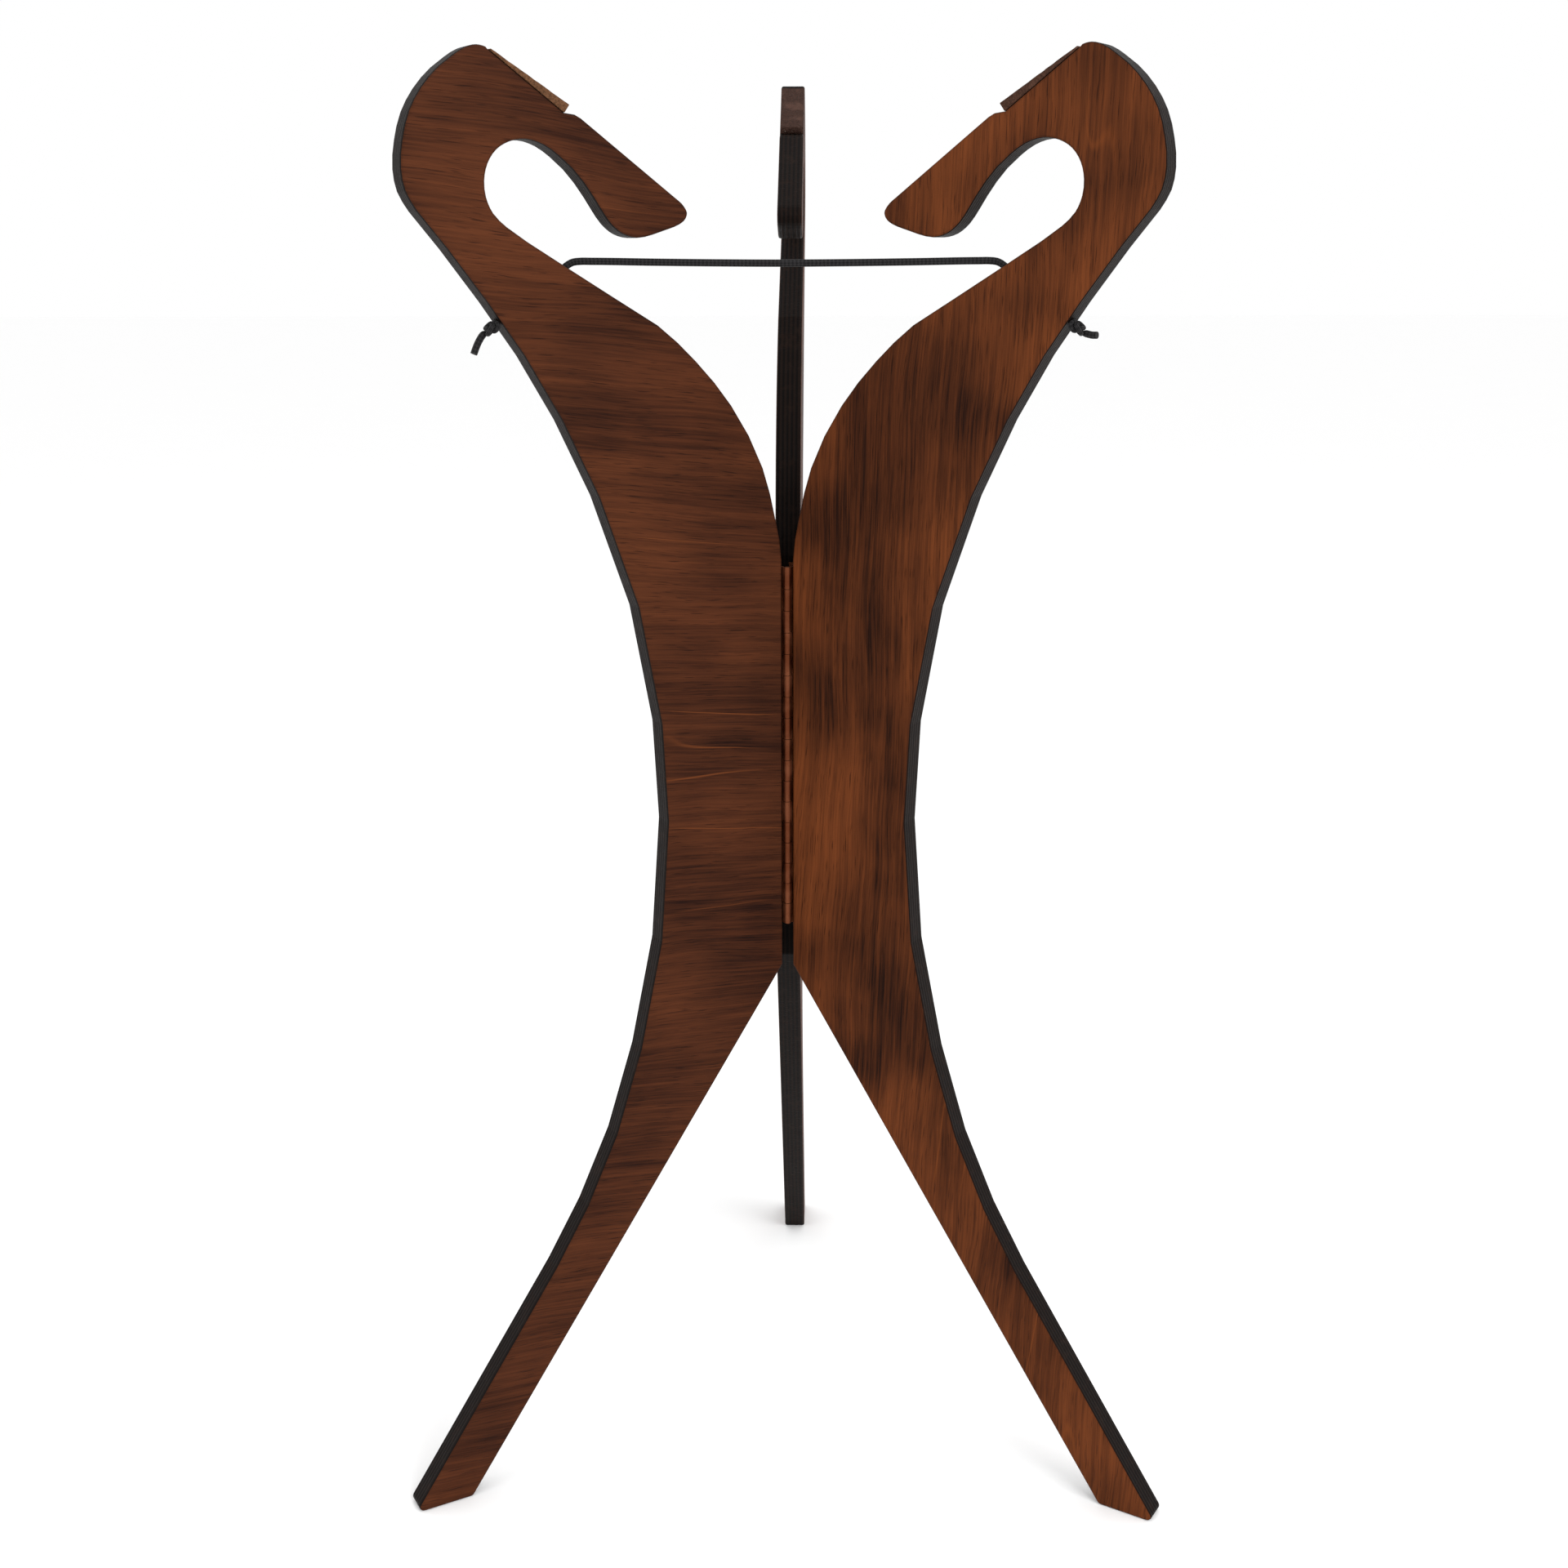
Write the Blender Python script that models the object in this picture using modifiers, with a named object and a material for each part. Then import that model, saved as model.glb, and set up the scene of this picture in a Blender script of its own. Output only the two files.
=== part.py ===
"""Folding stand for a handpan.

Three plywood legs of one outline stand 120 degrees apart round a central axis. Two piano hinges
on their straight inner edges join them, so that the outer two fold flat against the right one.
A cord through the necks of the front legs, knotted behind each, limits how far they spread.
Metres, +Z up, front legs towards -Y. The origin is the centre of the base.
"""

import math

import bmesh
import bpy
from mathutils import Matrix, Vector

# Legs, in the leg's own plane: distance out from the stand's axis, then height
LEG_THICKNESS = 0.015
EDGE_ROUNDING = 0.0012
LEG_HEIGHT = 0.840
FOOT_REACH = 0.262
SOLE_WIDTH = 0.0366
SOLE_ROUNDING = 0.003
SPINE_OUT = 0.0078
SPINE_FOOT_HEIGHT = 0.3085
SPINE_HEAD_HEIGHT = 0.562
SPINE_ROUNDING = 0.002
LEG_ANGLE = 120.0
FACET_TURN = math.radians(9)

# The S of the leg: its inner side above the spine, and its outer side from neck to shin
NECK_INSIDE = [(0.0118, 0.587), (0.0200, 0.617), (0.0400, 0.6532), (0.0620, 0.6785), (0.0850, 0.6985)]
LEG_OUTSIDE = [(0.1435, 0.649), (0.1230, 0.606), (0.1005, 0.542), (0.0875, 0.472), (0.0845, 0.412),
               (0.0905, 0.338), (0.1055, 0.2715), (0.1230, 0.219), (0.1435, 0.176)]
SHIN_HEAD = (0.165, 0.1405)

# The hooked arm: distance out, then distance below the crest
EYE = [(0.110, 0.1268), (0.140, 0.1090), (0.160, 0.0970), (0.1712, 0.0895), (0.1785, 0.0825),
       (0.1820, 0.0745), (0.1826, 0.0665), (0.1805, 0.0580), (0.1755, 0.0510), (0.1680, 0.0467),
       (0.1590, 0.0455), (0.1490, 0.0482), (0.1410, 0.0533), (0.1334, 0.0597), (0.1220, 0.0737)]
NOSE = [(0.1175, 0.0805), (0.1120, 0.0878), (0.1050, 0.0930), (0.0965, 0.0950), (0.0875, 0.0934),
        (0.0775, 0.0903), (0.0708, 0.0878), (0.0672, 0.0850), (0.0662, 0.0817), (0.0678, 0.0785),
        (0.0725, 0.0744)]
LEDGE = [(0.1275, 0.0343), (0.1310, 0.0325)]
SEAT_FOOT = (0.1375, 0.0317)
SEAT_HEAD = (0.1775, 0.0025)
CREST = [(0.1790, 0.0009), (0.1840, 0.0), (0.1900, 0.0014), (0.1970, 0.0055), (0.2045, 0.0110),
         (0.2145, 0.0215), (0.2215, 0.0330), (0.2258, 0.0470), (0.2274, 0.0610), (0.2256, 0.0720),
         (0.2200, 0.0817), (0.2045, 0.1005), (0.1840, 0.1275), (0.1640, 0.1560)]

# Leather pads on the arms
PAD_FOOT_THICKNESS = 0.005
PAD_HEAD_THICKNESS = 0.001
PAD_OVERHANG = 0.0005
PAD_SIDE_INSET = 0.0003
PAD_ROUNDING = 0.0003
SEAT_GAP = 0.0003

# Piano hinges
HINGE_LENGTH = 0.222
HINGE_MIDDLE_HEIGHT = 0.4473
KNUCKLES = 17
KNUCKLE_GAP = 0.0003
PIN_RADIUS = 0.0008
PIN_CLEARANCE = 0.0003
LEAF_THICKNESS = 0.001
LEAF_WIDTH = 0.0088
ROLL_ANGLE = math.radians(280)
ROLL_STEPS = 12
BORE_RADIUS = PIN_RADIUS + PIN_CLEARANCE
BARREL_RADIUS = BORE_RADIUS + LEAF_THICKNESS
# The barrel lies on the bisector of two legs, with its leaves flat on both inner edges
PIN_OUT = (SPINE_OUT - SEAT_GAP - BARREL_RADIUS) / math.cos(math.radians(LEG_ANGLE / 2))

# Countersunk screws through the leaves
SCREWS_PER_LEAF = 5
SCREW_END_MARGIN = 0.013
SCREW_LENGTH = 0.012
SCREW_TIP = 0.0025
SCREW_HEAD_RADIUS = 0.0021
SCREW_HEAD_HEIGHT = 0.0011
SCREW_RIM = 0.0002
SCREW_SHANK_RADIUS = 0.0011
SCREW_CLEARANCE = 0.0004
SCREW_SIDES = 10
SCREW_SPACING = (HINGE_LENGTH - 2 * SCREW_END_MARGIN) / (SCREWS_PER_LEAF - 1)

# Cord: its holes run across the necks, and a knot on each outer edge holds it
CORD_RADIUS = 0.002
CORD_HOLE_RADIUS = 0.0024
CORD_HOLE_MIDDLE = (0.1565, 0.7158)
CORD_HOLE_SLOPE = math.radians(-35.2)
CORD_END_GAP = 0.0003
KNOT_CORD_RADIUS = 0.0012
KNOT_STRAND_GAP = 0.0005
KNOT_SHIFT = 0.003
# Free stretch from the left neck to its middle, in the frame of the stand's axis
CORD_ROUTE = [(-0.1162, -0.0668, 0.7315), (-0.1140, -0.0659, 0.7325), (-0.1105, -0.0655, 0.7329),
              (-0.1040, -0.0654, 0.7329), (-0.0700, -0.0654, 0.7324), (-0.0350, -0.0654, 0.7320),
              (0.0, -0.0654, 0.7318)]
# Tails beyond the knots: out along the hole, down along the edge, towards the leg's front
LEFT_TAIL = [(0.0100, 0.0006, -0.0010), (0.0150, 0.0022, -0.0006), (0.0205, 0.0052, -0.0002)]
RIGHT_TAIL = [(0.0100, 0.0002, -0.0008), (0.0130, -0.0012, -0.0004), (0.0155, -0.0030, 0.0)]


def smooth(points, start=None, end=None, longest=None):
    """Points on a smooth curve through the given ones, with a facet every few degrees."""
    knots = [Vector(p) for p in points]
    last = len(knots) - 1
    chords = [knots[i + 1] - knots[i] for i in range(last)]
    tangents = [None] * (last + 1)
    for i in range(1, last):
        before, after = chords[i - 1], chords[i]
        tangents[i] = (before / before.length_squared + after / after.length_squared).normalized()
    ends = ((0, start, chords[0], tangents[1]), (last, end, chords[-1], tangents[last - 1]))
    for i, given, chord, inner in ends:
        along = chord.normalized()
        mirrored = 2 * along * along.dot(inner) - inner if inner is not None else along
        tangents[i] = Vector(given).normalized() if given is not None else mirrored
    curve = [knots[0]]
    for i, chord in enumerate(chords):
        turn = tangents[i].angle(chord) + chord.angle(tangents[i + 1])
        steps = max(1, math.ceil(turn / FACET_TURN))
        if longest:
            steps = max(steps, math.ceil(chord.length / longest))
        for k in range(1, steps + 1):
            s = k / steps
            curve.append(
                knots[i] * (2 * s**3 - 3 * s**2 + 1)
                + tangents[i] * (s**3 - 2 * s**2 + s) * chord.length
                + knots[i + 1] * (3 * s**2 - 2 * s**3)
                + tangents[i + 1] * (s**3 - s**2) * chord.length
            )
    return curve


def fillet(before, corner, after, radius):
    """Points of the arc that rounds a corner between two straight runs."""
    before, corner, after = Vector(before), Vector(corner), Vector(after)
    into = (before - corner).normalized()
    away = (after - corner).normalized()
    half = into.angle(away) / 2
    centre = corner + (into + away).normalized() * radius / math.sin(half)
    first = corner + into * radius / math.tan(half)
    sweep = math.pi - 2 * half
    if into.x * away.y - into.y * away.x < 0:
        sweep = -sweep
    steps = max(2, math.ceil(abs(sweep) / (2 * FACET_TURN)))
    arc = []
    for k in range(steps + 1):
        arc.append(centre + Matrix.Rotation(-sweep * k / steps, 2) @ (first - centre))
    return arc


def on_arm(points):
    """Arm points turned from distances below the crest into heights."""
    return [(out, LEG_HEIGHT - below) for out, below in points]


def leg_outline():
    """The closed outline of a leg, up its inner side and down its outer side."""
    sole_inner = (FOOT_REACH - SOLE_WIDTH, 0.0)
    sole_outer = (FOOT_REACH, 0.0)
    spine_foot = (SPINE_OUT, SPINE_FOOT_HEIGHT)
    spine_head = (SPINE_OUT, SPINE_HEAD_HEIGHT)
    slope_foot = on_arm([NOSE[-1]])[0]
    slope_head = on_arm([LEDGE[0]])[0]
    up_slope = Vector(slope_head) - Vector(slope_foot)
    down_shin = Vector(sole_outer) - Vector(SHIN_HEAD)
    points = fillet(sole_outer, sole_inner, spine_foot, SOLE_ROUNDING)
    points += fillet(sole_inner, spine_foot, spine_head, SPINE_ROUNDING)
    points += smooth([spine_head] + NECK_INSIDE + on_arm(EYE + NOSE), (0, 1), up_slope)
    points += [Vector(p) for p in on_arm(LEDGE + [SEAT_FOOT, SEAT_HEAD])]
    points += smooth(on_arm(CREST) + LEG_OUTSIDE + [SHIN_HEAD], None, down_shin)
    points += fillet(SHIN_HEAD, sole_outer, sole_inner, SOLE_ROUNDING)
    return points


def pad_outline():
    """The wedge of a pad on its seat: thick at the foot, skived thin under the crest."""
    foot, head = (Vector(p) for p in on_arm([SEAT_FOOT, SEAT_HEAD]))
    along = (head - foot).normalized()
    up = Vector((-along.y, along.x))
    low = foot - along * PAD_OVERHANG + up * SEAT_GAP
    high = head - along * SEAT_GAP + up * SEAT_GAP
    return [low, high, high + up * PAD_HEAD_THICKNESS, low + up * PAD_FOOT_THICKNESS]


def edge_crossing(outline, start, direction):
    """Where a line from a point inside the leg first leaves its outline."""
    reach = None
    for i, a in enumerate(outline):
        side = outline[i - 1] - a
        gap = a - start
        cross = direction.x * side.y - direction.y * side.x
        if abs(cross) < 1e-12:
            continue
        along = (gap.x * side.y - gap.y * side.x) / cross
        share = (gap.x * direction.y - gap.y * direction.x) / cross
        if along > 0 and 0 <= share <= 1 and (reach is None or along < reach):
            reach = along
    return start + direction * reach


def material(name, colour, roughness, metallic=0.0):
    """A plain Principled material in the piece's colour."""
    mat = bpy.data.materials.new(name)
    mat.use_nodes = True
    shader = mat.node_tree.nodes["Principled BSDF"]
    shader.inputs["Base Color"].default_value = (*colour, 1.0)
    shader.inputs["Roughness"].default_value = roughness
    shader.inputs["Metallic"].default_value = metallic
    return mat


def new_object(name, data, place, collection, mat=None, parent=None):
    """Links an object for the data at a world place."""
    obj = bpy.data.objects.new(name, data)
    collection.objects.link(obj)
    if mat is not None:
        data.materials.append(mat)
    if parent is not None:
        obj.parent = parent
        obj.matrix_parent_inverse = parent.matrix_world.inverted()
    obj.matrix_world = place
    return obj


def mesh_from_curve(curve, name):
    """The closed mesh of a curve, with its caps welded to its sides."""
    carrier = bpy.data.objects.new(name + "_curve", curve)
    bpy.context.scene.collection.objects.link(carrier)
    bpy.context.view_layer.update()
    evaluated = carrier.evaluated_get(bpy.context.evaluated_depsgraph_get())
    mesh = bpy.data.meshes.new_from_object(evaluated)
    mesh.name = name
    bpy.data.objects.remove(carrier)
    bpy.data.curves.remove(curve)
    bm = bmesh.new()
    bm.from_mesh(mesh)
    bmesh.ops.remove_doubles(bm, verts=bm.verts, dist=0.000005)
    bmesh.ops.recalc_face_normals(bm, faces=bm.faces)
    bm.to_mesh(mesh)
    bm.free()
    return mesh


def sawn_mesh(name, outline, thickness, rounding):
    """A flat outline cut from a board, with rounded edges on both faces."""
    curve = bpy.data.curves.new(name, "CURVE")
    curve.dimensions = "2D"
    curve.fill_mode = "BOTH"
    curve.extrude = thickness / 2 - rounding
    curve.bevel_depth = rounding
    curve.bevel_resolution = 1
    curve.offset = -rounding
    spline = curve.splines.new("POLY")
    spline.points.add(len(outline) - 1)
    for point, corner in zip(spline.points, outline):
        point.co = (corner.x, corner.y, 0.0, 1.0)
    spline.use_cyclic_u = True
    return mesh_from_curve(curve, name)


def tube_mesh(name, points, radii, sides=2):
    """A cord's mesh along the points, with its own radius at each."""
    curve = bpy.data.curves.new(name, "CURVE")
    curve.dimensions = "3D"
    curve.bevel_depth = 1.0
    curve.bevel_resolution = sides
    curve.use_fill_caps = True
    spline = curve.splines.new("POLY")
    spline.points.add(len(points) - 1)
    for point, place, radius in zip(spline.points, points, radii):
        point.co = (*place, 1.0)
        point.radius = radius
    return mesh_from_curve(curve, name)


def leg_frame(angle):
    """A leg's frame: local X out from the axis, local Y up, local Z square to the panel."""
    out = Vector((math.cos(angle), math.sin(angle), 0.0))
    up = Vector((0.0, 0.0, 1.0))
    square = out.cross(up)
    return Matrix((out, up, square)).transposed().to_4x4()


def leaf_frame(leg_angle, hinge_angle):
    """A leaf's frame, centred on the pin: X along the leg's edge, Y into the wood, Z along the pin."""
    into_wood = Vector((math.cos(leg_angle), math.sin(leg_angle), 0.0))
    pin = Vector((math.cos(hinge_angle), math.sin(hinge_angle), 0.0)) * PIN_OUT
    along_edge = into_wood * pin.dot(into_wood) - pin
    along_edge.normalize()
    frame = Matrix((along_edge, into_wood, along_edge.cross(into_wood))).transposed().to_4x4()
    frame.translation = pin + Vector((0.0, 0.0, HINGE_MIDDLE_HEIGHT))
    return frame


def leaf_mesh(name, first):
    """A comb-shaped plate whose teeth are rolled round the pin, starting at slot 0 or 1."""
    pitch = HINGE_LENGTH / KNUCKLES
    foot = -HINGE_LENGTH / 2
    notch_out = BARREL_RADIUS + KNUCKLE_GAP
    comb = [(LEAF_WIDTH, foot + HINGE_LENGTH), (LEAF_WIDTH, foot)]
    for slot in range(KNUCKLES):
        tooth = slot % 2 == first
        slack = KNUCKLE_GAP / 2 if tooth else -KNUCKLE_GAP / 2
        low = foot + slot * pitch + (slack if slot > 0 else 0.0)
        high = foot + (slot + 1) * pitch - (slack if slot < KNUCKLES - 1 else 0.0)
        reach = 0.0 if tooth else notch_out
        comb += [(reach, low), (reach, high)]
    bm = bmesh.new()
    face = bm.faces.new([bm.verts.new((x, BORE_RADIUS, z)) for x, z in comb])
    raised = bmesh.ops.extrude_face_region(bm, geom=[face])["geom"]
    moved = [v for v in raised if isinstance(v, bmesh.types.BMVert)]
    bmesh.ops.translate(bm, vec=(0.0, LEAF_THICKNESS, 0.0), verts=moved)
    tips = [f for f in bm.faces if all(abs(v.co.x) < 1e-7 for v in f.verts)]
    for tip in tips:
        bmesh.ops.spin(bm, geom=[tip], cent=(0, 0, 0), axis=(0, 0, 1), dvec=(0, 0, 0),
                       angle=ROLL_ANGLE, steps=ROLL_STEPS, use_duplicate=False)
    bmesh.ops.delete(bm, geom=tips, context="FACES_ONLY")
    bmesh.ops.recalc_face_normals(bm, faces=bm.faces)
    mesh = bpy.data.meshes.new(name)
    bm.to_mesh(mesh)
    bm.free()
    return mesh


def profile_mesh(name, profile):
    """An open profile in the XZ plane, for a Screw modifier to turn."""
    mesh = bpy.data.meshes.new(name)
    edges = [(i, i + 1) for i in range(len(profile) - 1)]
    mesh.from_pydata([(x, 0.0, z) for x, z in profile], edges, [])
    return mesh


def turn(obj, sides):
    """Turns an object's profile round its local Z axis."""
    screw = obj.modifiers.new("turn", "SCREW")
    screw.axis = "Z"
    screw.steps = sides
    screw.render_steps = sides
    screw.use_merge_vertices = True
    screw.merge_threshold = 0.00001


def screw_profile(grow):
    """A countersunk screw, point down from the face of its head, or its hole when grown."""
    head = SCREW_HEAD_RADIUS + grow
    shank = SCREW_SHANK_RADIUS + grow
    return [
        (0.0, grow),
        (head, grow),
        (head, -SCREW_RIM),
        (shank, -SCREW_HEAD_HEIGHT),
        (shank, SCREW_TIP - SCREW_LENGTH - grow),
        (0.0, -SCREW_LENGTH - grow),
    ]


def screw_hole_cutter(name, place, collection):
    """The cutter for one leaf's row of screw holes."""
    cutter = new_object(name, profile_mesh(name, screw_profile(SCREW_CLEARANCE)), place, collection)
    turn(cutter, SCREW_SIDES)
    row = cutter.modifiers.new("row", "ARRAY")
    row.count = SCREWS_PER_LEAF
    row.use_relative_offset = False
    row.use_constant_offset = True
    row.constant_offset_displace = (SCREW_SPACING, 0.0, 0.0)
    hide_cutter(cutter)
    return cutter


def screw_frame(leaf):
    """The first screw's frame: X along the pin, Z out of the wood, on the flat of the leaf."""
    middle = (BARREL_RADIUS + LEAF_WIDTH) / 2
    centre = Vector((middle, BORE_RADIUS, SCREW_END_MARGIN - HINGE_LENGTH / 2))
    turned = Matrix(((0, -1, 0), (0, 0, -1), (1, 0, 0))).to_4x4()
    return leaf @ Matrix.Translation(centre) @ turned


def cut(obj, cutter):
    """Cuts one object with another."""
    difference = obj.modifiers.new("cut_" + cutter.name, "BOOLEAN")
    difference.operation = "DIFFERENCE"
    difference.solver = "EXACT"
    difference.object = cutter


def hide_cutter(obj):
    """Marks an object as a guide that only cuts."""
    obj.hide_render = True
    obj.display_type = "WIRE"


def cord_hole_cutter(leg, cutters, place, ends):
    """A rod across the neck that bores the cord's hole through both edges."""
    inner, outer = ends
    middle = (inner + outer) / 2
    length = (outer - inner).length + 4 * CORD_HOLE_RADIUS
    bpy.ops.mesh.primitive_cylinder_add(vertices=16, radius=CORD_HOLE_RADIUS, depth=length)
    rod = bpy.context.object
    rod.name = leg + "_cord_hole_cutter"
    for owner in list(rod.users_collection):
        owner.objects.unlink(rod)
    cutters.objects.link(rod)
    lay_down = Matrix.Rotation(CORD_HOLE_SLOPE - math.pi / 2, 4, "Z") @ Matrix.Rotation(-math.pi / 2, 4, "X")
    rod.matrix_world = place @ Matrix.Translation((middle.x, middle.y, 0.0)) @ lay_down
    hide_cutter(rod)
    return rod


def knot_path(inner, outer, front, tail):
    """A cord's end in leg coordinates: through the neck, round an overhand knot and out as a tail."""
    out = (outer - inner).normalized()
    down = Vector((-abs(out.y), -abs(out.x)))
    ring = 2 * KNOT_CORD_RADIUS + KNOT_STRAND_GAP / 2
    swell = KNOT_CORD_RADIUS + KNOT_STRAND_GAP / 2
    lobe = ring + swell
    height = lobe * math.sin(math.radians(60)) + KNOT_CORD_RADIUS + CORD_END_GAP

    def place(x, y, z):
        """Knot coordinates: towards the back, out of the hole, up along the edge."""
        flat = outer + out * (y + height) - down * z
        return Vector((flat.x, flat.y, front * (KNOT_SHIFT - x)))

    path = [Vector((*(inner + out * CORD_END_GAP), 0.0)), Vector((*outer, 0.0)) * 1.0]
    radii = [CORD_RADIUS, CORD_RADIUS]
    path.insert(1, (path[0] + path[1]) / 2)
    radii.insert(1, CORD_RADIUS)
    start = math.radians(30)
    loop = []
    steps = 20
    for k in range(steps + 1):
        t = start + (2 * math.pi - 2 * start) * k / steps
        reach = ring + swell * math.cos(3 * t)
        loop.append((reach * math.cos(2 * t), reach * math.sin(2 * t), swell * math.sin(3 * t)))
    lead_in = [(lobe, -height * 0.45, swell), (lobe * 0.86, ring * 0.62, swell)]
    lead_out = [(x, -y, -z) for x, y, z in reversed(lead_in)]
    rounds = [place(*p) for p in lead_in + loop + lead_out]
    path += rounds
    radii += [KNOT_CORD_RADIUS] * len(rounds)
    for reach, drop, forward in tail:
        flat = outer + out * reach + down * drop
        path.append(Vector((flat.x, flat.y, front * forward)))
        radii.append(CORD_RADIUS)
    return path, radii


def build():
    """Makes the whole stand."""
    for obj in list(bpy.data.objects):
        bpy.data.objects.remove(obj, do_unlink=True)
    scene = bpy.context.scene
    stand = bpy.data.collections.new("handpan_stand")
    cutters = bpy.data.collections.new("cutters")
    scene.collection.children.link(stand)
    scene.collection.children.link(cutters)

    wood = material("stained_plywood", (0.10, 0.035, 0.015), 0.45)
    leather = material("brown_leather", (0.075, 0.04, 0.028), 0.7)
    brass = material("aged_brass", (0.42, 0.22, 0.09), 0.35, 1.0)
    steel = material("brass_screw", (0.55, 0.36, 0.14), 0.3, 1.0)
    cord = material("black_cord", (0.012, 0.011, 0.012), 0.8)

    outline = leg_outline()
    leg_mesh = sawn_mesh("leg", outline, LEG_THICKNESS, EDGE_ROUNDING)
    half = math.radians(LEG_ANGLE / 2)
    angles = {
        "left": -math.pi / 2 - half,
        "right": -math.pi / 2 + half,
        "rear": -math.pi / 2 + 3 * half,
    }

    # The origin lies midway between the rear foot and the front feet
    front_reach = max(v.co.x * math.cos(half) + abs(v.co.z) * math.sin(half) for v in leg_mesh.vertices)
    rear_reach = max(v.co.x for v in leg_mesh.vertices)
    stand_axis = Matrix.Translation((0.0, (front_reach - rear_reach) / 2, 0.0))

    hinges = {
        "front_hinge": (-math.pi / 2, ("left", "right")),
        "rear_hinge": (-math.pi / 2 + 2 * half, ("right", "rear")),
    }
    pivots = {}
    for hinge, (hinge_angle, _) in hinges.items():
        pivot = bpy.data.objects.new(hinge + "_axis", None)
        stand.objects.link(pivot)
        pin_at = Vector((math.cos(hinge_angle), math.sin(hinge_angle), 0.0)) * PIN_OUT
        pivot.matrix_world = stand_axis @ Matrix.Translation(pin_at)
        pivots[hinge] = pivot
    scene.view_layers[0].update()
    carried_by = {"left": pivots["front_hinge"], "right": None, "rear": pivots["rear_hinge"]}

    legs = {}
    pad_mesh = sawn_mesh("pad", pad_outline(), LEG_THICKNESS - 2 * PAD_SIDE_INSET, PAD_ROUNDING)
    for side, angle in angles.items():
        place = stand_axis @ leg_frame(angle)
        legs[side] = new_object(side + "_leg", leg_mesh.copy(), place, stand, wood, carried_by[side])
        new_object(side + "_pad", pad_mesh.copy(), place, stand, leather, carried_by[side])

    screw_mesh = profile_mesh("screw", screw_profile(0.0))
    screw_mesh.materials.append(steel)
    for hinge, (hinge_angle, sides) in hinges.items():
        bpy.ops.mesh.primitive_cylinder_add(vertices=12, radius=PIN_RADIUS, depth=HINGE_LENGTH)
        pin = bpy.context.object
        pin.name = hinge + "_pin"
        for owner in list(pin.users_collection):
            owner.objects.unlink(pin)
        stand.objects.link(pin)
        pin.data.materials.append(steel)
        pin.matrix_world = pivots[hinge].matrix_world @ Matrix.Translation((0, 0, HINGE_MIDDLE_HEIGHT))
        for first, side in enumerate(sides):
            name = hinge + "_" + side
            leaf_place = stand_axis @ leaf_frame(angles[side], hinge_angle)
            leaf = new_object(name + "_leaf", leaf_mesh(name + "_leaf", first), leaf_place, stand, brass,
                              carried_by[side])
            row_place = screw_frame(leaf_place)
            for k in range(SCREWS_PER_LEAF):
                screw_place = row_place @ Matrix.Translation((k * SCREW_SPACING, 0.0, 0.0))
                screw = new_object(f"{name}_screw_{k + 1}", screw_mesh, screw_place, stand, None,
                                   carried_by[side])
                turn(screw, SCREW_SIDES)
            holes = screw_hole_cutter(name + "_hole_cutter", row_place, cutters)
            cut(leaf, holes)
            cut(legs[side], holes)

    middle = Vector(CORD_HOLE_MIDDLE)
    outward = Vector((math.cos(CORD_HOLE_SLOPE), math.sin(CORD_HOLE_SLOPE)))
    ends = (edge_crossing(outline, middle, -outward), edge_crossing(outline, middle, outward))
    for side, front, tail in (("left", -1, LEFT_TAIL), ("right", 1, RIGHT_TAIL)):
        place = stand_axis @ leg_frame(angles[side])
        cut(legs[side], cord_hole_cutter(side, cutters, place, ends))
        path, radii = knot_path(*ends, front, tail)
        mesh = tube_mesh(side + "_cord_knot", path, radii)
        new_object(side + "_cord_knot", mesh, place, stand, cord, carried_by[side])

    mouth = leg_frame(angles["left"]) @ Vector((*ends[0], 0.0))
    half_route = [mouth] + [Vector(p) for p in CORD_ROUTE]
    other_half = [Vector((-p.x, p.y, p.z)) for p in reversed(half_route[:-1])]
    along_hole = leg_frame(angles["left"]).to_3x3() @ Vector((*-outward, 0.0))
    against_hole = Vector((along_hole.x, -along_hole.y, -along_hole.z))
    route = smooth(half_route + other_half, along_hole, against_hole, longest=0.01)
    mesh = tube_mesh("spread_cord", route, [CORD_RADIUS] * len(route))
    new_object("spread_cord", mesh, stand_axis, stand, cord)

    for obj in stand.objects:
        if obj.type == "MESH":
            obj.data.shade_smooth()
            obj.data.set_sharp_from_angle(angle=math.radians(35))


build()
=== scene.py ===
"""Looks of a folding handpan stand: stained plywood legs, leather pads, brass hinges and a braided cord.

Everything is in metres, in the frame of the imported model: +Z up, front legs towards -Y.
"""

import math

import bmesh
import bpy
from mathutils import Matrix, Vector, noise


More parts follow.
